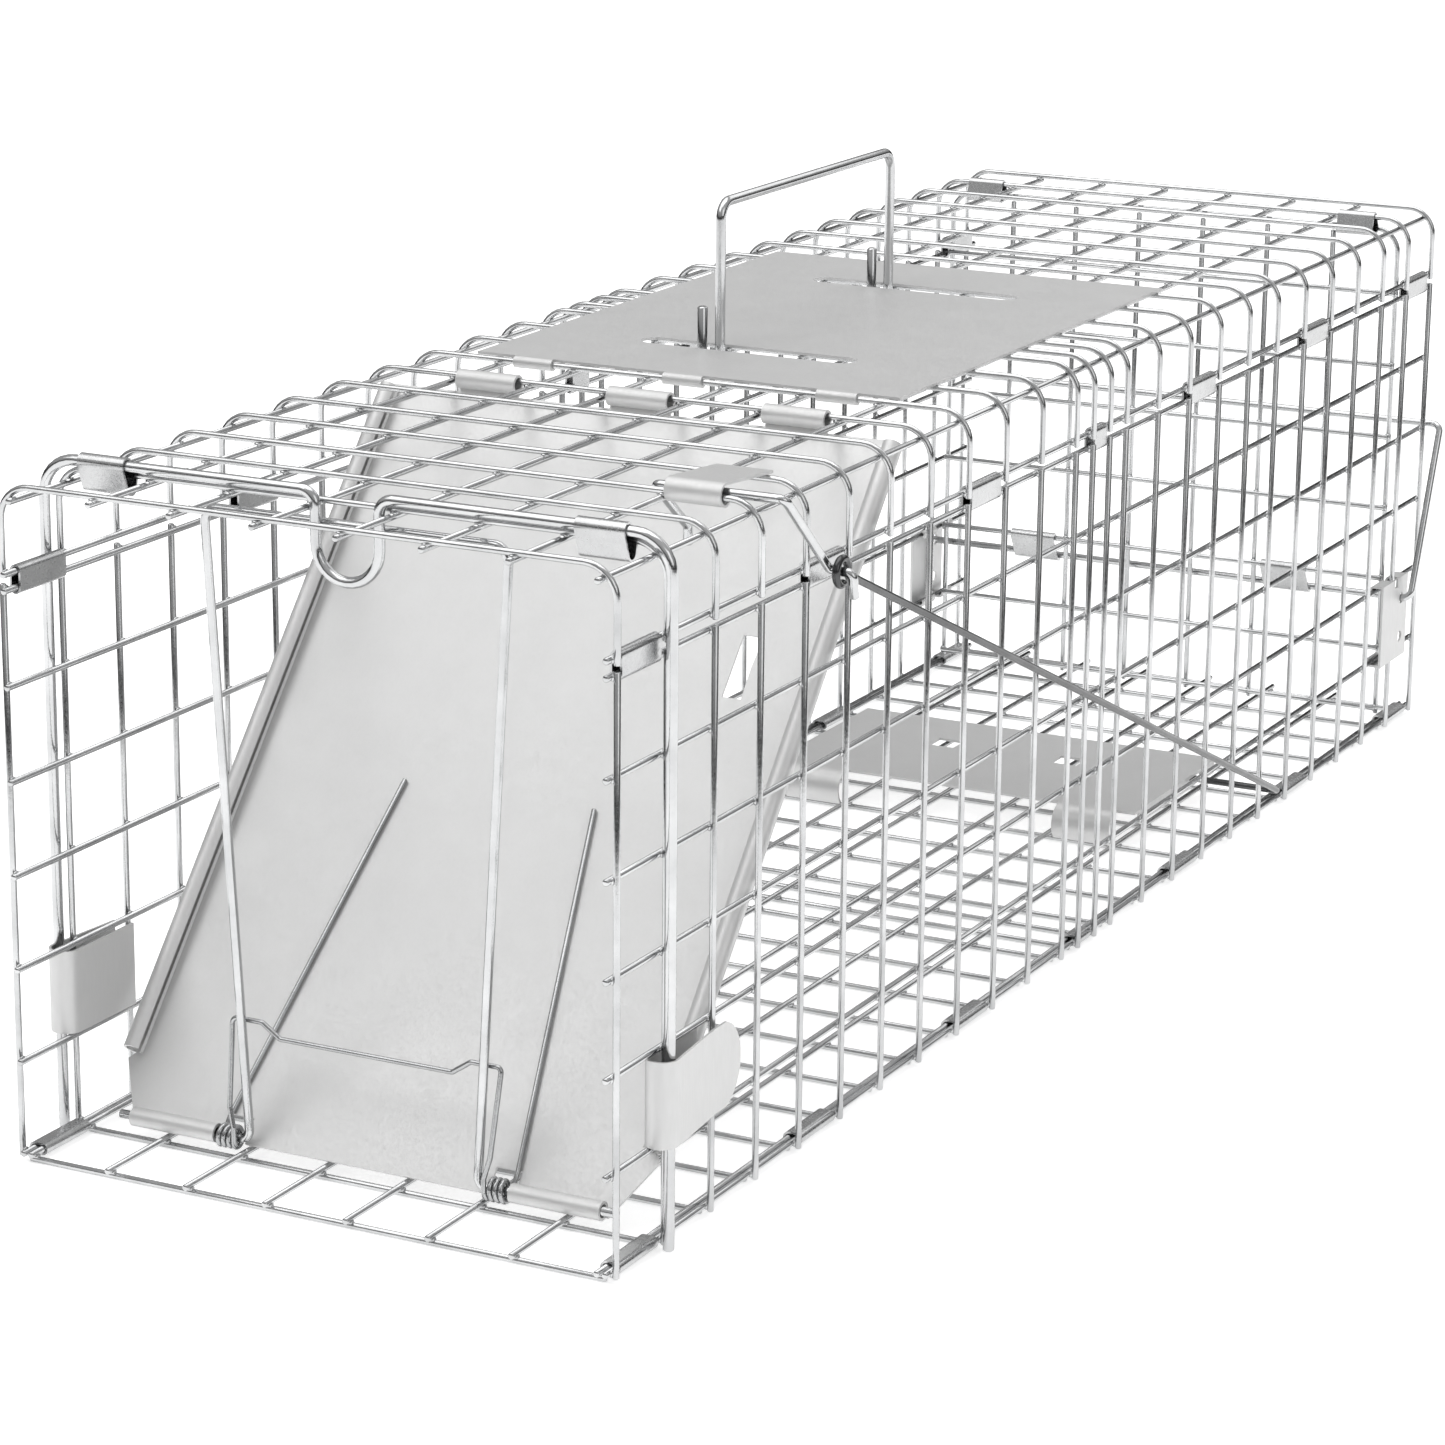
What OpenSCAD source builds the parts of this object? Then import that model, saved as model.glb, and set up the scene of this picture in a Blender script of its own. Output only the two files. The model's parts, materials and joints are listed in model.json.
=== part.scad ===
/* [Cage mesh] */
// Diameter of the mesh wire
wire_d = 1.8; // [1.4:0.1:2]
// Height of the cage, floor wires to roof wires, centre to centre
cage_h = 179.7; // [176:0.1:184]
// Bend radius at the cage's upper edges
corner_r = 9; // [7:0.5:12]
// How far the lengthwise wires stick out past the end hoops
wire_overhang = 2.6; // [2:0.1:4]

/* [Front door] */
// Height of the lock bail's bar below the roof wires
bail_play = 1.95; // [1.8:0.05:3]
// Half the width of the door sheet
door_half_w = 82; // [78:0.5:82.5]
// Thickness of all folded sheet
sheet_t = 0.8; // [0.6:0.05:0.8]
// Diameter of the lock bail's wire
bail_d = 2.5; // [2.2:0.1:2.6]

/* [Frame and handle] */
// Diameter of the front frame wire
frame_d = 3; // [2.6:0.1:3]
// Diameter of the carrying handle's wire
handle_d = 3; // [2.5:0.1:3]
// Height of the handle's grip above the roof wires
handle_rise = 44; // [38:1:60]

/* [Trigger] */
// Diameter of the hook rod
hook_d = 2.5; // [2.2:0.1:2.5]
// Diameter of the long trigger rod
rod_d = 2.2; // [1.8:0.1:2.4]
// Half the width of the treadle pan
pan_half_w = 65; // [60:0.5:68]

/* [Rear lock] */
// Diameter of the rear lock rod
lock_d = 2.5; // [2.2:0.1:2.6]

/* [Hidden] */
$fn = 48;

weld_gap = 0.02;
pitch = 25.4;
cells_long = 12;
half_step = 0.5;
hoops_front = [for (k = [0:cells_long]) k * pitch];
hoops_rear = [for (k = [0:cells_long]) (k + cells_long - half_step) * pitch];
hoops = concat(hoops_front, hoops_rear);
cage_l = hoops_rear[cells_long];
hoop_x = 3.5 * pitch;
layer = wire_d + weld_gap;
wire_r = wire_d / 2;
floor_cross_z = wire_r;
floor_long_z = floor_cross_z + layer;
roof_cross_z = floor_long_z + cage_h;
roof_long_z = roof_cross_z - layer;
side_long_x = hoop_x - layer;
long_step = 24.2;
long_x = [for (i = [-2.5:1:2.5]) i * long_step];
edge_long_x = 3.5 * long_step;
side_rows = 6;
side_top_z = floor_long_z + side_rows * pitch;
seam_gap = 4.3;
roof_leg_z = side_top_z + seam_gap;
wire_tip = 1.4;
frame_y = 22.8;
frame_r = frame_d / 2;
frame_x = hoop_x + wire_r + frame_r + 0.3;
frame_z = roof_cross_z + wire_r + frame_r + 0.3;
loop_half_w = 9.3;
loop_bottom_z = frame_z - 22.5;
bail_r = bail_d / 2;
bail_y = frame_y + frame_r + bail_r + 0.35;
bail_pin_z = 6.8;
bail_top_z = roof_long_z - wire_r - bail_r - bail_play;
door_hinge_y = 7 * pitch;
door_dy = door_hinge_y - bail_y;
door_dz = roof_cross_z - bail_pin_z;
door_l = sqrt(door_dy * door_dy + door_dz * door_dz);
door_tilt = atan2(door_dy, door_dz);
door_roll_r = 2.8;
door_sheet_y = door_roll_r - sheet_t;
knuckle_x = [-2 * long_step, 0, 2 * long_step];
knuckle_w = 19;
tube_r = 2.6;
tube_bore_r = 1.8;
tube_x0 = 44.7;
tube_l = 26.5;
spring_d = 1.4;
spring_r = spring_d / 2;
coil_r = 2.7;
coil_x = 37.9;
coil_step = 1.45;
coil_turns = 4;
plate_z = roof_cross_z + wire_r + 0.05;
plate_y0 = 8 * pitch + 0.2;
plate_y1 = 397.5;
plate_half_w = 67.3;
slot_y = [243.5, 358.5];
slot_half_l = 34.7;
slot_w = 9;
handle_r = handle_d / 2;
handle_x = -long_step / 2;
handle_hook_r = 2.9;
hook_r = hook_d / 2;
hook_y = 3 * pitch + 2.25;
hook_z = roof_cross_z + 0.9;
sleeve_y = 3 * pitch + 1.25;
sleeve_z = roof_cross_z + 0.5;
eye_y = 105;
eye_z = 159.5;
arm_x = 94;
eye_x = 97.4;
rod_r = rod_d / 2;
rod_foot_x = 94;
rod_foot_y = 450;
rod_foot_z = 10.2;
pan_hinge_y = 15.5 * pitch;
pan_z = 12;
pan_y1 = 468;
pan_curl_r = 6.2;
rear_row_y = 22.5 * pitch + 0.9;
rear_post_y = rear_row_y + layer;
rear_hinge_z = roof_long_z - wire_r - wire_r - 0.7;
rear_half_w = 84.1;
rear_rows = [7.4, 29.6, 54.9, 80.2, 105.5, 130.8, 156.1];
lock_r = lock_d / 2;
lock_y = 577.2;
lock_z = 47.6;
lock_arm_x = 94.1;
lock_top_y = cage_l + wire_overhang + lock_r + 0.25;
lock_top_z = 105.8;
bracket_x = hoop_x + wire_r + 0.15;
bracket_hole_z = [lock_z, 33.6];
bracket_hole_r = 2;
box_front = -wire_overhang;
box_rear = lock_top_y + lock_r;
mid_y = (box_front + box_rear) / 2;

// The cage is drawn from its front hoop and set about its middle.
module placed() translate([0, -mid_y, 0]) children();

function unit(v) = v / norm(v);

// A straight round wire from a to b.
module wire(a, b, d) {
    v = b - a;
    l = norm(v);
    translate(a) rotate([0, acos(v[2] / l), atan2(v[1], v[0])]) cylinder(h = l, d = d);
}

// A quarter of a ring, or less, joining two straight lengths at a bend.
module bend(p, u, v, r, d) {
    turn = acos(u * v);
    n = unit(v - (u * v) * u);
    c = p - u * (r * tan(turn / 2)) + n * r;
    z = cross(-n, u);
    m = [[-n[0], u[0], z[0], c[0]], [-n[1], u[1], z[1], c[1]], [-n[2], u[2], z[2], c[2]],
        [0, 0, 0, 1]];
    multmatrix(m) rotate_extrude(angle = turn) translate([r, 0]) circle(d = d);
}

// A wire bent along points, with one bend radius.
module bent(p, r, d) {
    n = len(p);
    dirs = [for (i = [0:n - 2]) unit(p[i + 1] - p[i])];
    cut = [for (i = [0:n - 1]) (i == 0 || i == n - 1) ? 0
        : r * tan(acos(dirs[i - 1] * dirs[i]) / 2)];
    union() {
        for (i = [0:n - 2])
            if (norm(p[i + 1] - p[i]) - cut[i] - cut[i + 1] > 0.01)
                wire(p[i] + dirs[i] * cut[i], p[i + 1] - dirs[i] * cut[i + 1], d);
        for (i = [1:n - 2]) bend(p[i], dirs[i - 1], dirs[i], r, d);
    }
}

// The centre line of a wire bent along points p in short steps; r is one bend radius or a list.
function bend_line(p, r, steps = 6) =
    let (n = len(p), dirs = [for (i = [0:n - 2]) unit(p[i + 1] - p[i])])
    concat([p[0]], [for (i = [1:n - 2]) let (
        u = dirs[i - 1], v = dirs[i], turn = acos(u * v), side = unit(v - (u * v) * u),
        q = is_list(r) ? r[i - 1] : r, c = p[i] - u * (q * tan(turn / 2)) + side * q)
        for (j = [0:steps]) let (a = turn * j / steps)
            c + q * (sin(a) * u - cos(a) * side)], [p[n - 1]]);

function cross_of(u, t) = unit(u - (u * t) * t);

// A wire swept along any row of points, as one body with a flat-sided skin.
module swept(p, d, sides = 12) {
    n = len(p);
    dirs = [for (i = [0:n - 1]) unit(p[min(i + 1, n - 1)] - p[max(i - 1, 0)])];
    first = cross_of(abs(dirs[0][1]) < 0.8 ? [0, 1, 0] : [0, 0, 1], dirs[0]);
    sides_up = [for (i = 0, u = first; i < n;
        i = i + 1, u = i < n ? cross_of(u, dirs[i]) : u) u];
    rim = d / 2 / sqrt(cos(180 / sides));
    skin = [for (i = [0:n - 1]) let (u = sides_up[i], v = cross(dirs[i], u))
        for (j = [0:sides - 1]) p[i] + rim * (cos(j * 360 / sides) * u
            + sin(j * 360 / sides) * v)];
    walls = [for (i = [0:n - 2], j = [0:sides - 1]) let (k = (j + 1) % sides)
        [i * sides + j, i * sides + k, (i + 1) * sides + k, (i + 1) * sides + j]];
    polyhedron(skin, concat(walls, [[for (j = [sides - 1:-1:0]) j]],
        [[for (j = [0:sides - 1]) (n - 1) * sides + j]]), 4);
}

// A flat shape in the Y-Z plane, drawn as [y, z], w thick along X from x.
module across(x, w) translate([x, 0, 0]) rotate([90, 0, 90]) linear_extrude(w) children();

// A flat shape in the X-Z plane, drawn as [x, z], l long along Y from y.
module along(y, l) translate([0, y + l, 0]) rotate([90, 0, 0]) linear_extrude(l) children();

// A bar with round ends between two points of a plane.
module bar2d(a, b, r) {
    v = b - a;
    translate(a) circle(r);
    translate(b) circle(r);
    translate(a) rotate(atan2(v[1], v[0])) translate([0, -r]) square([norm(v), 2 * r]);
}

// A pie slice that covers angles a0 to a1, for cutting arcs out of rings.
module slice2d(r, a0, a1) {
    step = (a1 - a0) / 8;
    polygon(concat([[0, 0]], [for (i = [0:8]) 2 * r * [cos(a0 + i * step), sin(a0 + i * step)]]));
}

// An arc of sheet, t thick inside radius r, from angle a0 to a1.
module curl2d(c, r, t, a0, a1) translate(c) intersection() {
    difference() {
        circle(r);
        circle(r - t);
    }
    slice2d(r, a0, a1);
}

module roof_hoop(y) {
    top_x = hoop_x - corner_r;
    top_z = roof_cross_z - corner_r;
    wire([-top_x, y, roof_cross_z], [top_x, y, roof_cross_z], wire_d);
    for (s = [-1, 1]) {
        wire([s * hoop_x, y, roof_leg_z - wire_tip], [s * hoop_x, y, top_z - weld_gap], wire_d);
        translate([s * (top_x + weld_gap), y, top_z]) rotate([90, 0, 0])
            rotate(s > 0 ? 0 : 90) rotate_extrude(angle = 90)
                translate([corner_r - weld_gap, 0]) circle(d = wire_d);
    }
}

module long_wire(x, z) wire([x, -wire_overhang, z], [x, cage_l + wire_overhang, z], wire_d);

module top_panel() color([0.78, 0.79, 0.8]) placed() {
    inner = corner_r - layer;
    edge_a = acos((edge_long_x - hoop_x + corner_r) / inner);
    for (y = hoops) roof_hoop(y);
    for (x = long_x) long_wire(x, roof_long_z);
    for (s = [-1, 1]) {
        long_wire(s * edge_long_x, roof_cross_z - corner_r + inner * sin(edge_a));
        long_wire(s * side_long_x, roof_leg_z);
    }
}

module side_panel(s) placed() {
    for (y = hoops)
        wire([s * hoop_x, y, floor_long_z - wire_tip], [s * hoop_x, y, side_top_z + wire_tip],
            wire_d);
    for (k = [0:side_rows]) long_wire(s * side_long_x, floor_long_z + k * pitch);
}

module left_side_panel() color([0.76, 0.77, 0.78]) side_panel(-1);

module right_side_panel() color([0.76, 0.77, 0.78]) side_panel(1);

module floor_panel() color([0.74, 0.75, 0.76]) placed() {
    half_w = side_long_x - 0.8;
    for (y = hoops) wire([-half_w, y, floor_cross_z], [half_w, y, floor_cross_z], wire_d);
    for (x = concat(long_x, [-edge_long_x, edge_long_x])) long_wire(x, floor_long_z);
}

// Where the clips sit along the cage, as [middle in pitches, length].
clip_spots = [[0.5, 20], [4.5, 20], [8.5, 20], [11.75, 9.5], [15, 20], [19, 20], [23, 20]];

module clip_ring(a, b) for (c = clip_spots) along(c[0] * pitch - c[1] / 2, c[1]) difference() {
    bar2d(a, b, wire_r + 0.8);
    bar2d(a, b, wire_r + 0.2);
}

module seam_clips() color([0.7, 0.71, 0.72]) placed() for (s = [-1, 1])
    clip_ring([s * side_long_x, side_top_z], [s * side_long_x, roof_leg_z]);

module floor_clips() color([0.7, 0.71, 0.72]) placed() for (s = [-1, 1])
    clip_ring([s * edge_long_x, floor_long_z], [s * side_long_x, floor_long_z]);

module front_frame() color([0.8, 0.81, 0.82]) placed() {
    foot_z = 1.2;
    corner = 10;
    dip_r = 4;
    top = [for (s = [-1, 1]) [s * (frame_x - corner), frame_y, frame_z]];
    union() {
        for (s = [-1, 1])
            bent([[s * frame_x, frame_y, foot_z], [s * frame_x, frame_y, frame_z],
                [s * (loop_half_w + dip_r + 2), frame_y, frame_z]], corner, frame_d);
        bent([[-loop_half_w - dip_r - 2, frame_y, frame_z], [-loop_half_w, frame_y, frame_z],
            [-loop_half_w, frame_y, loop_bottom_z + loop_half_w + 1]], dip_r, frame_d);
        bent([[-loop_half_w, frame_y, loop_bottom_z + loop_half_w + 1],
            [-loop_half_w, frame_y, loop_bottom_z], [loop_half_w, frame_y, loop_bottom_z],
            [loop_half_w, frame_y, loop_bottom_z + loop_half_w + 1]], loop_half_w, frame_d);
        bent([[loop_half_w, frame_y, loop_bottom_z + loop_half_w + 1],
            [loop_half_w, frame_y, frame_z], [loop_half_w + dip_r + 2, frame_y, frame_z]],
            dip_r, frame_d);
    }
}

module wedge2d(a, b, c, r) hull() for (p = [a, b, c]) translate(p) circle(r);

module front_frame_clips() color([0.68, 0.69, 0.7]) placed() for (s = [-1, 1])
    across(s * 3 * long_step - 7, 14) difference() {
        apex = [pitch - 0.6, roof_cross_z - 3.2];
        wedge2d([frame_y, frame_z], [pitch, roof_cross_z], apex, frame_r + 0.75);
        wedge2d([frame_y, frame_z], [pitch, roof_cross_z], apex, frame_r + 0.15);
    }

// A plate folded round the frame wire, seen from above as [x, y], within one cell of mesh.
module guard(tab) {
    low_z = floor_long_z + pitch + wire_r + 0.3;
    high_z = floor_long_z + 2 * pitch - wire_r - 0.3;
    fold_r = 4.4;
    fold_x = frame_x - 2;
    crease = [fold_x + 1.6, 47.6];
    tail = [fold_x + 1.5, 62];
    t = 0.7;
    placed() difference() {
        translate([0, 0, low_z]) linear_extrude(high_z - low_z) {
            curl2d([fold_x, frame_y], fold_r, t, 180, 360);
            translate([fold_x - fold_r, frame_y - 0.05]) square([t, 25.6]);
            bar2d([fold_x + fold_r - t / 2, frame_y], crease, t / 2);
            if (tab) bar2d(crease, tail, t / 2);
        }
        if (tab) translate([fold_x + 1.5, 50, (low_z + high_z) / 2]) rotate([0, 90, 0])
            difference() {
                translate([-20, 0, -2.5]) cube([40, 40, 8]);
                translate([0, 0, -4]) cylinder(h = 12, r = 12.2);
            }
    }
}

module left_guard() color([0.66, 0.67, 0.68]) mirror([1, 0, 0]) guard(false);

module right_guard() color([0.66, 0.67, 0.68]) guard(true);

module top_plate() color([0.82, 0.82, 0.82]) placed() union() {
    difference() {
        translate([-plate_half_w, plate_y0, plate_z])
            cube([2 * plate_half_w, plate_y1 - plate_y0, sheet_t]);
        for (y = slot_y) translate([0, 0, plate_z - 1]) linear_extrude(sheet_t + 2)
            bar2d([-slot_half_l + slot_w / 2, y], [slot_half_l - slot_w / 2, y], slot_w / 2);
    }
    for (x = knuckle_x) across(x - 6.2, 12.4)
        curl2d([8 * pitch, roof_cross_z], wire_r + 0.05 + sheet_t, sheet_t - 0.02, 80, 320);
}

module carry_handle() color([0.8, 0.81, 0.82]) placed() {
    leg_x = handle_x + handle_hook_r;
    stub_x = handle_x - handle_hook_r;
    hook_low_z = roof_long_z - handle_hook_r;
    mid_z = roof_long_z + 2;
    stub_z = roof_cross_z + 13.2;
    grip_z = roof_cross_z + handle_rise;
    union() {
        for (y = slot_y)
            bent([[stub_x, y, stub_z], [stub_x, y, hook_low_z], [leg_x, y, hook_low_z],
                [leg_x, y, mid_z]], handle_hook_r, handle_d);
        bent([[leg_x, slot_y[0], mid_z], [leg_x, slot_y[0], grip_z], [leg_x, slot_y[1], grip_z],
            [leg_x, slot_y[1], mid_z]], 5, handle_d);
    }
}

// The door hangs straight down here from its hinge wire at the origin, front to -Y.
module door_blank() {
    roll_x = door_half_w - door_roll_r;
    roll_l = 214;
    top_z = -4;
    end_z = -door_l - 0.9;
    cut_x = 72;
    window = [[54, -67], [60.2, -67], [59.4, -76], [59.6, -86], [53.8, -86]];
    difference() {
        translate([0, door_sheet_y + sheet_t, 0]) rotate([90, 0, 0]) linear_extrude(sheet_t)
            difference() {
                polygon([[-roll_x, top_z], [roll_x, top_z], [roll_x, -roll_l],
                    [door_half_w - 1, -roll_l - 2], [cut_x, end_z], [-cut_x, end_z],
                    [-door_half_w + 1, -roll_l - 2], [-roll_x, -roll_l]]);
                polygon(window);
                for (s = [-1, 1]) translate([s * 40.7 - 3.8, end_z - 1]) square([7.6, 8.5]);
            }
    }
    for (s = [-1, 1]) translate([s * roll_x, 0, -roll_l]) linear_extrude(roll_l - 6)
        scale([s, 1]) rotate(90) curl2d([0, 0], door_roll_r, sheet_t, -240, 60);
}

module door_panel() color([0.83, 0.83, 0.83]) placed() {
    ring_z = 1;
    tilt = -door_tilt;
    translate([0, door_hinge_y, roof_cross_z]) rotate([tilt, 0, 0]) union() {
        difference() {
            door_blank();
            for (x = knuckle_x) across(x - knuckle_w / 2 - 1, knuckle_w + 2)
                translate([0, -ring_z]) circle(door_roll_r - sheet_t);
        }
        for (x = knuckle_x) across(x - knuckle_w / 2, knuckle_w) {
            curl2d([0, -ring_z], door_roll_r, sheet_t, 0, 340);
            translate([door_sheet_y, -4.5]) square([sheet_t, 4.5 - ring_z]);
        }
        for (s = [-1, 1]) across(s > 0 ? tube_x0 : -tube_x0 - tube_l, tube_l) {
            curl2d([0, -door_l], tube_r, tube_r - tube_bore_r, -330, 0);
            translate([door_sheet_y, -door_l]) square([tube_r - door_sheet_y, 3]);
        }
    }
}

module lock_bail() color([0.76, 0.77, 0.78]) placed() {
    pin_end = 75.5;
    foot_x = 34.6;
    top_x = 44.6;
    rise = bail_top_z - bail_pin_z;
    translate([0, bail_y, bail_pin_z]) swept(bend_line([[-pin_end, 0, 0], [-foot_x, 0, 0],
        [-top_x, 0, rise], [top_x, 0, rise], [foot_x, 0, 0], [pin_end, 0, 0]],
        [2.6, 4, 4, 2.6]), bail_d);
}

// Half of the spring: tip on the door, coil round the bail's pin, bridge behind the legs.
function spring_path(s) =
    let (down = [-sin(door_tilt), -cos(door_tilt)],
        out = [-cos(door_tilt), sin(door_tilt)] * (spring_r + 0.1 - door_sheet_y),
        tip = [door_hinge_y, roof_cross_z] + 124 * down + out,
        heel = [door_hinge_y, roof_cross_z] + (door_l - 6) * down + out,
        steps = 44,
        sweep = coil_turns * 360 - 160,
        end_x = coil_x + coil_turns * coil_step,
        back_y = bail_y + bail_r + spring_r + 0.15)
    concat([[s * 29.2, tip[0], tip[1]], [s * end_x, heel[0], heel[1]]],
        [for (i = [0:steps]) let (a = 20 - i * sweep / steps)
            [s * (end_x - coil_turns * coil_step * i / steps), bail_y + coil_r * cos(a),
                bail_pin_z + coil_r * sin(a)]],
        [[s * coil_x, bail_y - coil_r, bail_pin_z + 3.5],
            [s * 39.4, bail_y - 2, bail_pin_z + 9], [s * 40.6, back_y, 38], [s * 39.6, back_y, 39.3],
            [s * 31.5, back_y, 39.4], [s * 27.5, back_y, 36.4], [s * 25.5, back_y, 35.6]]);

module lock_spring() color([0.7, 0.71, 0.72]) placed() {
    left = spring_path(-1);
    right = spring_path(1);
    n = len(right);
    swept(concat(left, [for (i = [n - 1:-1:0]) right[i]]), spring_d, 8);
}

module trigger_bracket() color([0.8, 0.8, 0.8]) placed() {
    x0 = 61.8;
    w = 16.2;
    ring_r = 3.25;
    rear_y = 103.5;
    rear_z = plate_z + sheet_t / 2 + 0.1;
    across(x0, w) {
        curl2d([sleeve_y, sleeve_z], ring_r, sheet_t - 0.1, 75, 335);
        bar2d([sleeve_y + 0.4, sleeve_z + ring_r - sheet_t / 2], [rear_y, rear_z], sheet_t / 2);
    }
}

module trigger_hook() color([0.74, 0.75, 0.76]) placed() {
    crank_x = 57;
    finger_y = 97;
    finger_z = 168.5;
    end_x = eye_x + 3.2;
    swept(bend_line([[crank_x, finger_y, finger_z - 5], [crank_x, finger_y, finger_z],
        [crank_x, hook_y, hook_z], [arm_x, hook_y, hook_z], [arm_x, eye_y, eye_z],
        [end_x, eye_y, eye_z], [end_x, eye_y + 1, eye_z - 7]], 1.9), hook_d);
}

module trigger_rod() color([0.7, 0.71, 0.72]) placed() {
    ring = 3.4;
    eye = [eye_x, eye_y, eye_z];
    v = unit([0, rod_foot_y - eye_y, rod_foot_z - eye_z]);
    w = [0, -v[2], v[1]];
    turn = 318;
    loop = [for (i = [0:22]) let (a = i * turn / 22) eye + ring * (cos(a) * v + sin(a) * w)];
    tail = bend_line([eye + v * 9, [rod_foot_x, rod_foot_y, rod_foot_z],
        [58, rod_foot_y, rod_foot_z]], 3);
    swept(concat([for (i = [22:-1:1]) loop[i]], [eye + v * (ring + 0.9) - w * 0.2], tail), rod_d);
}

module treadle_pan() color([0.72, 0.72, 0.72]) placed() {
    y0 = pan_hinge_y + 1.8;
    flange = 3.8;
    hole = 9;
    holes = [-22.5, 22.5];
    union() {
        difference() {
            translate([-pan_half_w, y0, pan_z]) cube([2 * pan_half_w, pan_y1 - y0, sheet_t]);
            for (x = holes) translate([x - hole / 2, 436.5, pan_z - 1]) cube([hole, hole, 3]);
        }
        for (s = [-1, 1]) difference() {
            translate([s * (pan_half_w - sheet_t / 2) - sheet_t / 2, y0 + 4, pan_z - flange])
                cube([sheet_t, pan_y1 - y0 - 6, flange + 0.1]);
            translate([s * pan_half_w - 3, rod_foot_y - 7, pan_z - flange - 1])
                cube([6, 11, flange + 0.7]);
        }
        for (x = holes) translate([x - hole / 2 + 0.6, 436, pan_z - 3.2])
            cube([hole - 1.2, 0.8, 3.4]);
        for (x = [-2, 2]) across(x * long_step - 10, 20)
            curl2d([y0, pan_z + sheet_t - pan_curl_r], pan_curl_r, sheet_t, 88, 232);
    }
}

module rear_door() color([0.75, 0.76, 0.77]) placed() {
    foot_z = 5.2;
    corner = 8;
    row_half = rear_half_w + 0.3;
    turn_x = rear_half_w - corner;
    turn_z = rear_hinge_z - corner;
    for (z = rear_rows) wire([-row_half, rear_row_y, z], [row_half, rear_row_y, z], wire_d);
    for (x = long_x)
        wire([x, rear_post_y, foot_z], [x, rear_post_y, rear_hinge_z - layer], wire_d);
    wire([-turn_x, rear_post_y, rear_hinge_z], [turn_x, rear_post_y, rear_hinge_z], wire_d);
    for (s = [-1, 1]) {
        wire([s * rear_half_w, rear_post_y, foot_z],
            [s * rear_half_w, rear_post_y, turn_z - weld_gap], wire_d);
        translate([s * (turn_x + weld_gap), rear_post_y, turn_z]) rotate([90, 0, 0])
            rotate(s > 0 ? 0 : 90) rotate_extrude(angle = 90)
                translate([corner - weld_gap, 0]) circle(d = wire_d);
    }
}

// Open at the back, so that only the lock rod behind the door holds it.
module rear_door_sleeves() color([0.68, 0.69, 0.7]) placed() for (s = [-1, 1])
    across(s * 2 * long_step - 8.5, 17) {
        row = [rear_row_y, rear_rows[2]];
        rod = [lock_y, lock_z];
        t = 0.7;
        row_r = wire_r + 0.15 + t;
        rod_out = lock_r + 0.3 + t;
        v = rod - row;
        tilt = atan2(v[1], v[0]) - asin((rod_out - row_r) / norm(v));
        n = tilt - 90;
        curl2d(row, row_r, t, 30, 360 + n);
        curl2d(rod, rod_out, t, 360 + n - 5, 285);
        bar2d(row + (row_r - t / 2) * [cos(n), sin(n)], rod + (rod_out - t / 2) * [cos(n), sin(n)],
            t / 2);
    }

module rear_hinge_clips() color([0.68, 0.69, 0.7]) placed() for (s = [-1, 1])
    across(s * 69.9 - 6.5, 13) difference() {
        hoop = [22.5 * pitch, roof_cross_z];
        bar = [rear_post_y, rear_hinge_z];
        apex = [22.5 * pitch - 1.4, rear_hinge_z - 0.3];
        wedge2d(hoop, bar, apex, wire_r + 0.8);
        wedge2d(hoop, bar, apex, wire_r + 0.15);
    }

module rear_lock_rod() color([0.76, 0.77, 0.78]) placed() {
    left_x = -94.5;
    rise = [lock_top_y - lock_y, lock_top_z - lock_z];
    translate([0, lock_y, lock_z]) rotate([-atan2(rise[0], rise[1]), 0, 0])
        bent([[left_x + 1, 0, 0], [lock_arm_x, 0, 0], [lock_arm_x, 0, norm(rise)],
            [left_x, 0, norm(rise)], [left_x, 0, norm(rise) - 8]], 3, lock_d);
}

module rear_bracket() {
    y0 = 557.5;
    y1 = 583.5;
    post_y = 22.5 * pitch;
    t = sheet_t;
    rows = [floor_long_z + pitch, floor_long_z + 2 * pitch];
    reach = wire_r + 0.2 + t;
    tabs = [[y0 + 0.6, post_y - 3.4 - y0 - 0.6], [post_y + 3.4, y1 - post_y - 4.4]];
    placed() union() {
        difference() {
            translate([bracket_x, y0, rows[0] - reach])
                cube([t, y1 - y0, rows[1] - rows[0] + 2 * reach]);
            for (z = bracket_hole_z) translate([bracket_x - 1, lock_y, z]) rotate([0, 90, 0])
                cylinder(h = 4, r = bracket_hole_r);
            translate([bracket_x - 1, post_y - 1.6, rows[1] - 1.2]) cube([4, 3.2, 6]);
        }
        for (tab = tabs) along(tab[0], tab[1]) {
            curl2d([side_long_x, rows[1]], reach, t, 90, 220);
            translate([side_long_x, rows[1] + reach - t])
                square([bracket_x - side_long_x + 0.1, t]);
            curl2d([side_long_x, rows[0]], reach, t, 140, 270);
            translate([side_long_x, rows[0] - reach])
                square([bracket_x - side_long_x + 0.1, t]);
        }
    }
}

module left_rear_bracket() color([0.6, 0.61, 0.62]) mirror([1, 0, 0]) rear_bracket();

module right_rear_bracket() color([0.6, 0.61, 0.62]) rear_bracket();

top_panel();
left_side_panel();
right_side_panel();
floor_panel();
seam_clips();
floor_clips();
front_frame();
front_frame_clips();
left_guard();
right_guard();
top_plate();
carry_handle();
door_panel();
lock_bail();
lock_spring();
trigger_bracket();
trigger_hook();
trigger_rod();
treadle_pan();
rear_door();
rear_door_sleeves();
rear_hinge_clips();
rear_lock_rod();
left_rear_bracket();
right_rear_bracket();
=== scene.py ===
import json
import math
import bpy
from mathutils import Matrix, Vector


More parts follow.
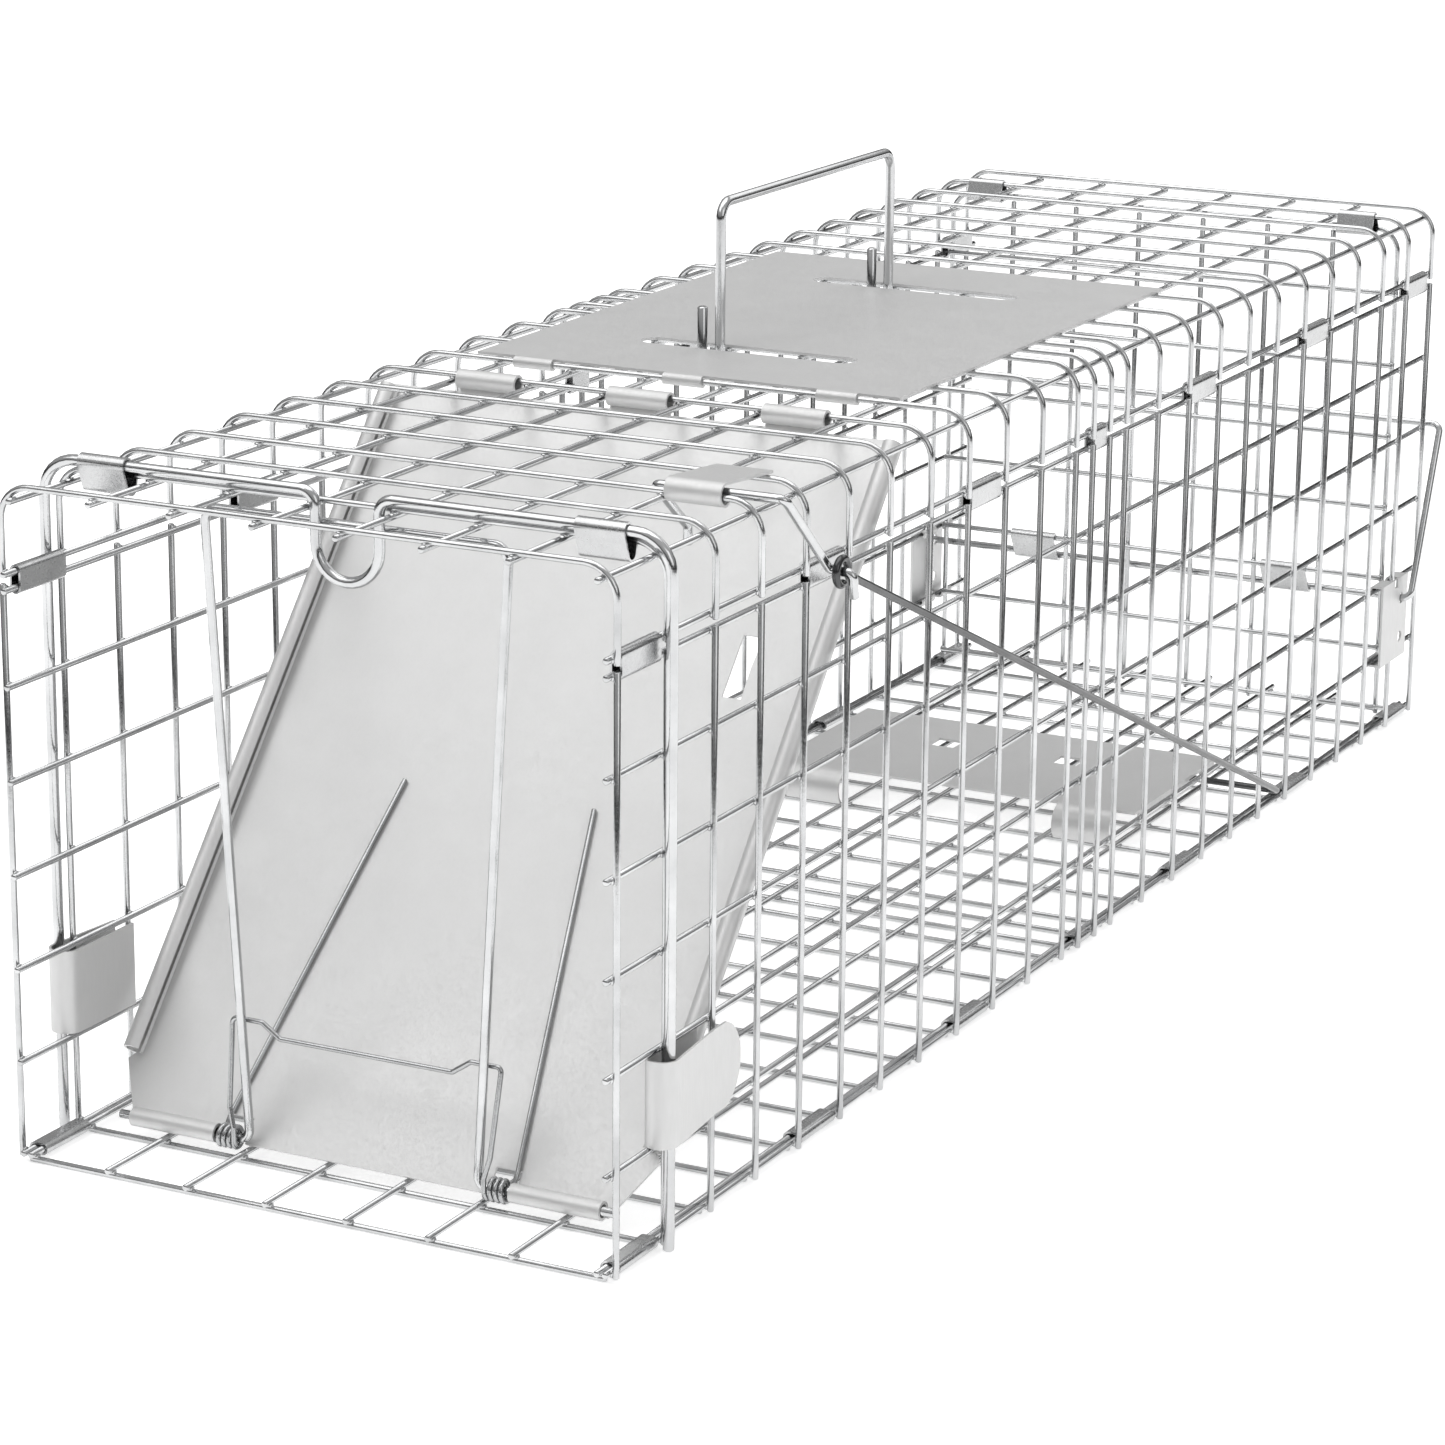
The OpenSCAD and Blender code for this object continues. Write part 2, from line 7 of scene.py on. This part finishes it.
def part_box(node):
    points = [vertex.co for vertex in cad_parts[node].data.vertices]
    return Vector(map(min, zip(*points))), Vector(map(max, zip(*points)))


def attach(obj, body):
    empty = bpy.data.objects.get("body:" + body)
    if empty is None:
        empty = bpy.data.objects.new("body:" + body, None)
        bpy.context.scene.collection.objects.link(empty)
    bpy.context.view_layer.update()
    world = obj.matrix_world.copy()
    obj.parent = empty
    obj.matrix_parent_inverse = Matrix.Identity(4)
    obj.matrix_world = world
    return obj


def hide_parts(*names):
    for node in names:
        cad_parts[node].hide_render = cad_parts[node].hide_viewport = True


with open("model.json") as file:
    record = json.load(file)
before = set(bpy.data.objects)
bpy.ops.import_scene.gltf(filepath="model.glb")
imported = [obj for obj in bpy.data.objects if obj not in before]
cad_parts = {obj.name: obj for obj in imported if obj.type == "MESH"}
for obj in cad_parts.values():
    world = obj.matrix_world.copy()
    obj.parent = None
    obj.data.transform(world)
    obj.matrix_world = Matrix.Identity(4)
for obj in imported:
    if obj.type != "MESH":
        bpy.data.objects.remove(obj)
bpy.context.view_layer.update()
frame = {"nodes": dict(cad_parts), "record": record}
record = frame["record"]

MM = 0.001
SIDES = 14

# Sizes in millimetres, as in the CAD model.
PITCH = 25.4
WIRE_D = 1.8
LAYER = WIRE_D + 0.02
HOOP_X = 3.5 * PITCH
CAGE_H = 179.7
CORNER_R = 9.0
OVERHANG = 2.6
LONG_STEP = 24.2
FLOOR_CROSS_Z = WIRE_D / 2
FLOOR_LONG_Z = FLOOR_CROSS_Z + LAYER
ROOF_Z = FLOOR_LONG_Z + CAGE_H
ROOF_LONG_Z = ROOF_Z - LAYER
SIDE_LONG_X = HOOP_X - LAYER
EDGE_LONG_X = 3.5 * LONG_STEP
SIDE_ROWS = 6
SIDE_TOP_Z = FLOOR_LONG_Z + SIDE_ROWS * PITCH
ROOF_LEG_Z = SIDE_TOP_Z + 4.3
TIP = 1.4
STATIONS = [k * PITCH for k in range(13)] + [(k + 11.5) * PITCH for k in range(13)]
CAGE_L = STATIONS[-1]
LONG_X = [(i - 2.5) * LONG_STEP for i in range(6)]
FRONT_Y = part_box("floor_panel")[0][1] / MM + OVERHANG
FRAME_Y, FRAME_D = 22.8, 3.0
FRAME_X = HOOP_X + WIRE_D / 2 + FRAME_D / 2 + 0.3
FRAME_Z = ROOF_Z + WIRE_D / 2 + FRAME_D / 2 + 0.3
LOOP_HALF_W, LOOP_DEPTH = 9.3, 22.5
BAIL_D = 2.5
BAIL_Y = FRAME_Y + FRAME_D / 2 + BAIL_D / 2 + 0.35
BAIL_PIN_Z = 6.8
BAIL_TOP_Z = ROOF_LONG_Z - WIRE_D / 2 - BAIL_D / 2 - 1.95
DOOR_HINGE = Vector((0.0, 7 * PITCH, ROOF_Z))
DOOR_DROP = Vector((0.0, BAIL_Y, BAIL_PIN_Z)) - DOOR_HINGE
DOOR_L = DOOR_DROP.length
DOOR_DOWN = DOOR_DROP.normalized()
DOOR_OUT = Vector((0.0, -abs(DOOR_DOWN.z), abs(DOOR_DOWN.y)))
SHEET_IN = 2.0
SPRING_D, COIL_R, COIL_X, COIL_STEP, COIL_TURNS = 1.4, 2.7, 37.9, 1.45, 4
COIL_END_X = COIL_X + COIL_TURNS * COIL_STEP
# Degrees: where the coil starts, what it lacks of full turns, and how far the
# bridge goes back along it.
COIL_START, COIL_SHORT, COIL_OVERLAP = 20.0, 160.0, 40.0
SPRING_ARM_L, SPRING_HEEL_UP, SPRING_TIP_X, COIL_SEGMENTS = 124.0, 6.0, 29.2, 96
HANDLE_D, HANDLE_X, HANDLE_HOOK_R, HANDLE_RISE = 3.0, -LONG_STEP / 2, 2.9, 44.0
SLOT_Y = (243.5, 358.5)
HOOK_D, HOOK_Y, HOOK_Z = 2.5, 3 * PITCH + 2.25, ROOF_Z + 0.9
ARM_X, EYE = 94.0, Vector((97.4, 105.0, 159.5))
EYE_R, EYE_ARC, EYE_SEGMENTS = 3.4, 318.0, 40
ROD_D, ROD_FOOT = 2.2, Vector((94.0, 450.0, 10.2))
REAR_ROW_Y = 22.5 * PITCH + 0.9
REAR_POST_Y = REAR_ROW_Y + LAYER
REAR_HINGE_Z = ROOF_LONG_Z - WIRE_D - 0.7
GATE_FOOT, GATE_HALF, GATE_CORNER_R = 5.2, 84.1, 8.0
REAR_ROWS = (7.4, 29.6, 54.9, 80.2, 105.5, 130.8, 156.1)
LOCK_D, LOCK_Y, LOCK_Z, LOCK_ARM_X = 2.5, 577.2, 47.6, 94.1
LOCK_TOP = Vector((0.0, CAGE_L + OVERHANG + LOCK_D / 2 + 0.25, 105.8))


def line(*points):
    return [Vector(p) for p in points]


def bent(points, radius, steps=8):
    """The centre line of a wire bent along points; radius is one number or one per bend."""
    out = [points[0]]
    radii = radius if isinstance(radius, list) else [radius] * (len(points) - 2)
    for before, here, after, radius in zip(points, points[1:], points[2:], radii):
        u, v = (here - before).normalized(), (after - here).normalized()
        turn = u.angle(v)
        side = (v - u * u.dot(v)).normalized()
        centre = here - u * radius * math.tan(turn / 2) + side * radius
        for j in range(steps + 1):
            a = turn * j / steps
            out.append(centre + radius * (math.sin(a) * u - math.cos(a) * side))
    out.append(points[-1])
    return out


class Mesh:
    """Collects wires and weld beads, then makes one object of them."""

    def __init__(self):
        self.verts, self.faces = [], []

    def _rings(self, rings, tip_a, tip_b):
        n = len(rings[0])
        base = len(self.verts)
        for ring in rings:
            self.verts += ring
        for i in range(len(rings) - 1):
            for j in range(n):
                k = (j + 1) % n
                a, b = base + i * n, base + (i + 1) * n
                self.faces.append((a + j, a + k, b + k, b + j))
        for tip, first in ((tip_a, True), (tip_b, False)):
            at = len(self.verts)
            self.verts.append(tip)
            row = base if first else base + (len(rings) - 1) * n
            for j in range(n):
                k = (j + 1) % n
                self.faces.append((row + k, row + j, at) if first else (row + j, row + k, at))

    def wire(self, points, d, sides=SIDES, chamfer=0.12):
        """A round wire along points, with lightly chamfered cut ends."""
        r = d / 2
        clean = [points[0]]
        for p in points[1:]:
            if (p - clean[-1]).length > 1e-4:
                clean.append(p)
        n = len(clean)
        dirs = [(clean[min(i + 1, n - 1)] - clean[max(i - 1, 0)]).normalized() for i in range(n)]
        u = dirs[0].orthogonal().normalized()
        rings = []
        for i, (p, t) in enumerate(zip(clean, dirs)):
            u = (u - t * u.dot(t)).normalized()
            v = t.cross(u)
            sizes = [(0.0, 1.0)]
            if i == 0:
                sizes = [(0.0, 1 - 2 * chamfer), (chamfer * d, 1.0)]
            if i == n - 1:
                sizes = [(-chamfer * d, 1.0), (0.0, 1 - 2 * chamfer)]
            for shift, k in sizes:
                rings.append([(p + t * shift + k * r * (math.cos(2 * math.pi * j / sides) * u
                              + math.sin(2 * math.pi * j / sides) * v)) for j in range(sides)])
        self._rings(rings, clean[0], clean[-1])

    def bead(self, centre, along, across, size):
        """A small squashed weld nugget where two wires cross."""
        normal = along.cross(across)
        rows, sides = 5, 8
        rings = []
        for i in range(1, rows):
            a = math.pi * i / rows
            rings.append([centre + size[2] * math.cos(a) * normal + math.sin(a)
                          * (size[0] * math.cos(2 * math.pi * j / sides) * along
                             + size[1] * math.sin(2 * math.pi * j / sides) * across)
                          for j in range(sides)])
        self._rings(rings, centre + size[2] * normal, centre - size[2] * normal)

    def make(self, name, body, nodes, material):
        mesh = bpy.data.meshes.new(name)
        shift = Vector((0.0, FRONT_Y, 0.0))
        mesh.from_pydata([tuple((v + shift) * MM) for v in self.verts], [], self.faces)
        mesh.validate()
        mesh.polygons.foreach_set("use_smooth", [True] * len(mesh.polygons))
        obj = bpy.data.objects.new(name, mesh)
        bpy.context.scene.collection.objects.link(obj)
        obj.data.materials.append(material)
        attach(obj, body)
        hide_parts(*nodes)
        return obj


class Nodes:
    """A few helpers that build a node material."""

    def __init__(self, name):
        self.mat = bpy.data.materials.new(name)
        self.mat.use_nodes = True
        self.tree = self.mat.node_tree
        self.shader = self.tree.nodes["Principled BSDF"]

    def add(self, kind, **values):
        node = self.tree.nodes.new(kind)
        for key, value in values.items():
            if key in node.inputs:
                node.inputs[key].default_value = value
            else:
                setattr(node, key, value)
        return node

    def link(self, a, b):
        self.tree.links.new(a, b)

    def ramp(self, source, stops):
        ramp = self.add("ShaderNodeValToRGB")
        ramp.color_ramp.elements[0].position = stops[0][0]
        ramp.color_ramp.elements[0].color = (*stops[0][1], 1)
        ramp.color_ramp.elements[1].position = stops[-1][0]
        ramp.color_ramp.elements[1].color = (*stops[-1][1], 1)
        for where, colour in stops[1:-1]:
            ramp.color_ramp.elements.new(where).color = (*colour, 1)
        self.link(source, ramp.inputs["Fac"])
        return ramp.outputs["Color"]


def zinc(name, dark, light, rough, grain, relief, stretch=(1.0, 1.0, 1.0), spangle=0.0,
         metallic=1.0):
    """Zinc-coated steel: cloudy tone, spangle or drawn grain, and uneven gloss."""
    m = Nodes(name)
    place = m.add("ShaderNodeTexCoord")
    scaled = m.add("ShaderNodeMapping")
    scaled.inputs["Scale"].default_value = stretch
    m.link(place.outputs["Object"], scaled.inputs["Vector"])
    cloud = m.add("ShaderNodeTexNoise", Scale=55.0, Detail=6.0, Roughness=0.6)
    fine = m.add("ShaderNodeTexNoise", Scale=grain, Detail=5.0, Roughness=0.65)
    cells = m.add("ShaderNodeTexVoronoi", Scale=230.0, Randomness=1.0)
    for node in (cloud, cells):
        m.link(place.outputs["Object"], node.inputs["Vector"])
    m.link(scaled.outputs["Vector"], fine.inputs["Vector"])
    tone = m.add("ShaderNodeMix", data_type="FLOAT")
    tone.inputs["Factor"].default_value = spangle
    m.link(cloud.outputs["Fac"], tone.inputs["A"])
    m.link(cells.outputs["Color"], tone.inputs["B"])
    mid = tuple((a + b) / 2 for a, b in zip(dark, light))
    m.link(m.ramp(tone.outputs["Result"], [(0.25, dark), (0.5, mid), (0.75, light)]),
           m.shader.inputs["Base Color"])
    gloss = m.add("ShaderNodeMapRange")
    gloss.inputs["From Min"].default_value = 0.3
    gloss.inputs["From Max"].default_value = 0.7
    gloss.inputs["To Min"].default_value = rough * 0.75
    gloss.inputs["To Max"].default_value = rough * 1.3
    m.link(fine.outputs["Fac"], gloss.inputs["Value"])
    m.link(gloss.outputs["Result"], m.shader.inputs["Roughness"])
    bump = m.add("ShaderNodeBump", Strength=relief, Distance=0.0004)
    m.link(fine.outputs["Fac"], bump.inputs["Height"])
    m.link(bump.outputs["Normal"], m.shader.inputs["Normal"])
    m.shader.inputs["Metallic"].default_value = metallic
    return m.mat


MESH_ZINC = zinc("mesh_zinc", (0.42, 0.425, 0.43), (0.66, 0.665, 0.67),
                 rough=0.17, grain=1100.0, relief=0.06)
BRIGHT_ZINC = zinc("bright_zinc", (0.46, 0.465, 0.47), (0.66, 0.665, 0.67),
                   rough=0.14, grain=1400.0, relief=0.05)
SHEET_ZINC = zinc("sheet_zinc", (0.62, 0.62, 0.618), (0.66, 0.66, 0.658),
                  rough=0.42, grain=1500.0, relief=0.03, stretch=(1.0, 1.0, 0.1),
                  spangle=0.05, metallic=0.45)
CLIP_ZINC = zinc("clip_zinc", (0.42, 0.423, 0.426), (0.58, 0.583, 0.586),
                 rough=0.24, grain=1100.0, relief=0.06)
SPRING_STEEL = zinc("spring_steel", (0.34, 0.345, 0.35), (0.5, 0.505, 0.51),
                    rough=0.22, grain=1300.0, relief=0.06)
DARK_ZINC = zinc("dark_zinc", (0.05, 0.051, 0.052), (0.13, 0.132, 0.134),
                 rough=0.2, grain=1200.0, relief=0.06)


def roof_hoop(y):
    return bent(line((-HOOP_X, y, ROOF_LEG_Z - TIP), (-HOOP_X, y, ROOF_Z), (HOOP_X, y, ROOF_Z),
                     (HOOP_X, y, ROOF_LEG_Z - TIP)), CORNER_R)


def long_wire(m, x, z):
    m.wire(line((x, -OVERHANG, z), (x, CAGE_L + OVERHANG, z)), WIRE_D)


AX, AY, AZ = Vector((1, 0, 0)), Vector((0, 1, 0)), Vector((0, 0, 1))
NUGGET = (1.25, 1.25, 0.62)

top = Mesh()
for y in STATIONS:
    top.wire(roof_hoop(y), WIRE_D)
    for x in LONG_X:
        top.bead(Vector((x, y, (ROOF_Z + ROOF_LONG_Z) / 2)), AX, AY, NUGGET)
    for s in (-1, 1):
        top.bead(Vector((s * (HOOP_X + SIDE_LONG_X) / 2, y, ROOF_LEG_Z)), AY, AZ, NUGGET)
edge_r = CORNER_R - LAYER
edge_a = math.acos((EDGE_LONG_X - HOOP_X + CORNER_R) / edge_r)
for x in LONG_X:
    long_wire(top, x, ROOF_LONG_Z)
for s in (-1, 1):
    long_wire(top, s * EDGE_LONG_X, ROOF_Z - CORNER_R + edge_r * math.sin(edge_a))
    long_wire(top, s * SIDE_LONG_X, ROOF_LEG_Z)
top.make("top_mesh", "cage", ["top_panel"], MESH_ZINC)

for s, side in ((-1, "left"), (1, "right")):
    panel = Mesh()
    for y in STATIONS:
        panel.wire(line((s * HOOP_X, y, FLOOR_LONG_Z - TIP), (s * HOOP_X, y, SIDE_TOP_Z + TIP)),
                   WIRE_D)
        for k in range(SIDE_ROWS + 1):
            panel.bead(Vector((s * (HOOP_X + SIDE_LONG_X) / 2, y, FLOOR_LONG_Z + k * PITCH)),
                       AY, AZ, NUGGET)
    for k in range(SIDE_ROWS + 1):
        long_wire(panel, s * SIDE_LONG_X, FLOOR_LONG_Z + k * PITCH)
    panel.make(side + "_side_mesh", "cage", [side + "_side_panel"], MESH_ZINC)

ground = Mesh()
half_w = SIDE_LONG_X - 0.8
for y in STATIONS:
    ground.wire(line((-half_w, y, FLOOR_CROSS_Z), (half_w, y, FLOOR_CROSS_Z)), WIRE_D)
    for x in LONG_X + [-EDGE_LONG_X, EDGE_LONG_X]:
        ground.bead(Vector((x, y, (FLOOR_CROSS_Z + FLOOR_LONG_Z) / 2)), AX, AY, NUGGET)
for x in LONG_X + [-EDGE_LONG_X, EDGE_LONG_X]:
    long_wire(ground, x, FLOOR_LONG_Z)
ground.make("floor_mesh", "cage", ["floor_panel"], MESH_ZINC)

hoop = Mesh()
loop_z = FRAME_Z - LOOP_DEPTH
left_half = bent(line((-FRAME_X, FRAME_Y, 1.2), (-FRAME_X, FRAME_Y, FRAME_Z),
                      (-LOOP_HALF_W - 8, FRAME_Y, FRAME_Z)), 10.0)
dip_in = bent(line((-LOOP_HALF_W - 8, FRAME_Y, FRAME_Z), (-LOOP_HALF_W, FRAME_Y, FRAME_Z),
                   (-LOOP_HALF_W, FRAME_Y, loop_z + LOOP_HALF_W)), 4.0)
dip = [Vector((-LOOP_HALF_W * math.cos(a), FRAME_Y, loop_z + LOOP_HALF_W
               - LOOP_HALF_W * math.sin(a))) for a in [math.pi * i / 16 for i in range(17)]]
half = left_half[:-1] + dip_in[1:-1] + dip[:9]
hoop.wire(half + [Vector((-p.x, p.y, p.z)) for p in reversed(half[:-1])], FRAME_D, 18)
hoop.make("front_hoop", "cage", ["front_frame"], BRIGHT_ZINC)

grip = Mesh()
leg_x, stub_x = HANDLE_X + HANDLE_HOOK_R, HANDLE_X - HANDLE_HOOK_R


def handle_foot(y):
    arc = [Vector((HANDLE_X + HANDLE_HOOK_R * math.cos(a), y, ROOF_LONG_Z
                   + HANDLE_HOOK_R * math.sin(a)))
           for a in [math.pi + math.pi * i / 12 for i in range(13)]]
    return [Vector((stub_x, y, ROOF_Z + 13.2))] + arc


front_foot, rear_foot = handle_foot(SLOT_Y[0]), handle_foot(SLOT_Y[1])
grip_z = ROOF_Z + HANDLE_RISE
bow = bent([front_foot[-1], Vector((leg_x, SLOT_Y[0], grip_z)), Vector((leg_x, SLOT_Y[1], grip_z)),
            rear_foot[-1]], 5.0)
grip.wire(front_foot + bow[1:-1] + list(reversed(rear_foot)), HANDLE_D, 18)
grip.make("handle_bow", "handle", ["carry_handle"], BRIGHT_ZINC)

bail = Mesh()
bail.wire(bent(line((-75.5, BAIL_Y, BAIL_PIN_Z), (-34.6, BAIL_Y, BAIL_PIN_Z),
                    (-44.6, BAIL_Y, BAIL_TOP_Z), (44.6, BAIL_Y, BAIL_TOP_Z),
                    (34.6, BAIL_Y, BAIL_PIN_Z), (75.5, BAIL_Y, BAIL_PIN_Z)),
               [2.6, 4.0, 4.0, 2.6]), BAIL_D, 18)
bail.make("bail_wire", "bail", ["lock_bail"], BRIGHT_ZINC)


def spring_side(s):
    """One long arm on the door's sheet and the coil at its foot."""
    lift = DOOR_OUT * (SPRING_D / 2 + 0.1 - SHEET_IN)
    tip = DOOR_HINGE + DOOR_DOWN * SPRING_ARM_L + lift
    heel = DOOR_HINGE + DOOR_DOWN * (DOOR_L - SPRING_HEEL_UP) + lift
    sweep = math.radians(COIL_TURNS * 360 - COIL_SHORT)
    start = math.radians(COIL_START)
    path = [Vector((s * SPRING_TIP_X, tip.y, tip.z)), Vector((s * COIL_END_X, heel.y, heel.z))]
    for i in range(COIL_SEGMENTS + 1):
        a = start - i * sweep / COIL_SEGMENTS
        path.append(Vector((s * (COIL_END_X - COIL_TURNS * COIL_STEP * i / COIL_SEGMENTS),
                            BAIL_Y + COIL_R * math.cos(a), BAIL_PIN_Z + COIL_R * math.sin(a))))
    return path


def spring_bridge():
    """The wire from coil to coil, behind the bail, which it folds with."""
    y = BAIL_Y + BAIL_D / 2 + SPRING_D / 2 + 0.15
    # The arc lies on the coil's own circle, so no gap opens when the bail folds.
    arc = [Vector((COIL_X, BAIL_Y + COIL_R * math.cos(a), BAIL_PIN_Z + COIL_R * math.sin(a)))
           for a in [math.radians(180 + COIL_OVERLAP * (1 - i / 6)) for i in range(7)]]
    half = arc[:-1] + bent(line((COIL_X, BAIL_Y - COIL_R, BAIL_PIN_Z),
                                (COIL_X, BAIL_Y - COIL_R, BAIL_PIN_Z + 3.5),
                                (39.4, BAIL_Y - 2, BAIL_PIN_Z + 9), (40.6, y, 39.3),
                                (31.5, y, 39.3), (26.0, y, 35.6), (16.0, y, 35.6)), 1.4, 6)
    return half + [Vector((-p.x, p.y, p.z)) for p in reversed(half)]


arms = Mesh()
for s in (-1, 1):
    arms.wire(spring_side(s), SPRING_D, 12)
arms.make("spring_arms", "door", ["lock_spring"], SPRING_STEEL)
bridge = Mesh()
bridge.wire(spring_bridge(), SPRING_D, 12)
bridge.make("spring_bridge", "bail", ["lock_spring"], SPRING_STEEL)

hook = Mesh()
hook.wire(bent(line((57, 97, 163.5), (57, 97, 168.5), (57, HOOK_Y, HOOK_Z),
                    (ARM_X, HOOK_Y, HOOK_Z), (ARM_X, EYE.y, EYE.z), (EYE.x + 3.2, EYE.y, EYE.z),
                    (EYE.x + 3.2, EYE.y + 1, EYE.z - 7)), 1.9), HOOK_D, 16)
hook.make("hook_rod", "hook", ["trigger_hook"], BRIGHT_ZINC)

rod = Mesh()
run = (Vector((EYE.x, ROD_FOOT.y, ROD_FOOT.z)) - EYE).normalized()
lift = Vector((0.0, -run.z, run.y))
loop = [EYE + EYE_R * (math.cos(a) * run + math.sin(a) * lift)
        for a in [math.radians(EYE_ARC * i / EYE_SEGMENTS) for i in range(1, EYE_SEGMENTS + 1)]]
tail = bent([EYE + run * 9, ROD_FOOT, Vector((58.0, ROD_FOOT.y, ROD_FOOT.z))], 3.0)
rod.wire(list(reversed(loop)) + [EYE + run * 4.3 - lift * 0.2] + tail, ROD_D, 14)
rod.make("rod_wire", "rod", ["trigger_rod"], DARK_ZINC)

gate = Mesh()
for z in REAR_ROWS:
    gate.wire(line((-GATE_HALF - 0.3, REAR_ROW_Y, z), (GATE_HALF + 0.3, REAR_ROW_Y, z)), WIRE_D)
for x in LONG_X:
    gate.wire(line((x, REAR_POST_Y, GATE_FOOT), (x, REAR_POST_Y, REAR_HINGE_Z - LAYER)), WIRE_D)
gate.wire(bent(line((-GATE_HALF, REAR_POST_Y, GATE_FOOT), (-GATE_HALF, REAR_POST_Y, REAR_HINGE_Z),
                    (GATE_HALF, REAR_POST_Y, REAR_HINGE_Z), (GATE_HALF, REAR_POST_Y, GATE_FOOT)),
               GATE_CORNER_R), WIRE_D)
for x in LONG_X + [-GATE_HALF, GATE_HALF]:
    for z in REAR_ROWS:
        gate.bead(Vector((x, (REAR_ROW_Y + REAR_POST_Y) / 2, z)), AX, AZ, NUGGET)
gate.make("rear_gate", "rear_door", ["rear_door"], MESH_ZINC)

lock = Mesh()
low, high = Vector((0, LOCK_Y, LOCK_Z)), LOCK_TOP
down = (low - high).normalized() * 8
lock.wire(bent([low - AX * 93.5, low + AX * LOCK_ARM_X, high + AX * LOCK_ARM_X,
                high - AX * 94.5, high - AX * 94.5 + down], 3.0), LOCK_D, 16)
lock.make("lock_wire", "lock_rod", ["rear_lock_rod"], BRIGHT_ZINC)

FINISH = {"plate_sheet": SHEET_ZINC, "clip_sheet": CLIP_ZINC, "mesh_wire": MESH_ZINC,
          "bright_wire": BRIGHT_ZINC, "spring_wire": SPRING_STEEL}
for part in record["subparts"]:
    obj = frame["nodes"][part["node"]]
    for i in range(max(1, len(obj.material_slots))):
        if not obj.material_slots:
            obj.data.materials.append(None)
        obj.material_slots[i].link = "OBJECT"
        obj.material_slots[i].material = FINISH[part["material_slot"]]

# Pale floor, soft light.
floor_mesh = bpy.data.meshes.new("studio_floor")
FLOOR_HALF = 6.0
corners = [(x * FLOOR_HALF, y * FLOOR_HALF, 0) for x, y in ((-1, -1), (1, -1), (1, 1), (-1, 1))]
floor_mesh.from_pydata(corners, [], [(0, 1, 2, 3)])
floor = bpy.data.objects.new("studio_floor", floor_mesh)
bpy.context.scene.collection.objects.link(floor)
paint = Nodes("studio_white")
paint.shader.inputs["Base Color"].default_value = (0.92, 0.92, 0.92, 1)
paint.shader.inputs["Emission Color"].default_value = (1, 1, 1, 1)
paint.shader.inputs["Emission Strength"].default_value = 0.55
paint.shader.inputs["Roughness"].default_value = 0.7
floor.data.materials.append(paint.mat)

world = bpy.data.worlds.new("studio")
bpy.context.scene.world = world
world.use_nodes = True
tree = world.node_tree
back = tree.nodes["Background"]
sky = tree.nodes.new("ShaderNodeTexCoord")
split = tree.nodes.new("ShaderNodeSeparateXYZ")
shade = tree.nodes.new("ShaderNodeValToRGB")
tree.links.new(sky.outputs["Generated"], split.inputs["Vector"])
tree.links.new(split.outputs["Z"], shade.inputs["Fac"])
tree.links.new(shade.outputs["Color"], back.inputs["Color"])
# Height above the horizon, from 0 to 1, and the grey of the sky there.
SKY_LOW, SKY_STEPS, SKY_HIGH = 0.04, ((0.12, 0.07), (0.26, 0.62), (0.62, 0.85)), 1.0
SKY_STRENGTH = 0.62
for element, where, grey in zip(shade.color_ramp.elements, (0.0, 1.0), (SKY_LOW, SKY_HIGH)):
    element.position = where
    element.color = (grey, grey, grey, 1)
for where, grey in SKY_STEPS:
    shade.color_ramp.elements.new(where).color = (grey, grey, grey, 1)
back.inputs["Strength"].default_value = SKY_STRENGTH


LIGHT_AIM = Vector((0, 0, 0.08))


def area(name, where, size, power):
    """A soft rectangular light, in metres and watts, aimed at the object."""
    light = bpy.data.lights.new(name, "AREA")
    light.shape = "RECTANGLE"
    light.size, light.size_y = size
    light.energy = power
    obj = bpy.data.objects.new(name, light)
    obj.location = where
    obj.rotation_euler = (LIGHT_AIM - Vector(where)).to_track_quat("-Z", "Y").to_euler()
    bpy.context.scene.collection.objects.link(obj)


area("key", (-1.0, -1.2, 1.9), (1.6, 1.2), 9.0)
area("fill", (1.8, -0.9, 1.1), (1.2, 1.2), 4.0)
area("rim", (0.3, 1.9, 1.5), (1.8, 0.8), 5.0)
area("top", (-0.2, 0.1, 2.3), (2.2, 2.2), 26.0)

# The camera stands where the photograph's viewing angle puts it.
YAW, PITCH_DOWN, ROLL = math.radians(26.94), math.radians(15.75), math.radians(0.55)
LENS, SHIFT_X, SENSOR = 113.2, -0.0055, 36.0
CAMERA_AT = (0.5848, -1.2161, 0.4381)
cam_data = bpy.data.cameras.new("camera")
cam_data.lens = LENS
cam_data.shift_x = SHIFT_X
cam_data.sensor_width = SENSOR
cam = bpy.data.objects.new("camera", cam_data)
right = Vector((math.cos(YAW), math.sin(YAW), 0))
ahead = Vector((-math.sin(YAW) * math.cos(PITCH_DOWN), math.cos(YAW) * math.cos(PITCH_DOWN),
                -math.sin(PITCH_DOWN)))
up = right.cross(ahead)
right, up = (math.cos(ROLL) * right + math.sin(ROLL) * up,
             math.cos(ROLL) * up - math.sin(ROLL) * right)
turn = Matrix((right, up, -ahead)).transposed().to_4x4()
cam.matrix_world = Matrix.Translation(CAMERA_AT) @ turn
bpy.context.scene.collection.objects.link(cam)
bpy.context.scene.camera = cam
bpy.context.scene.view_settings.view_transform = "Standard"

bpy.context.view_layer.update()
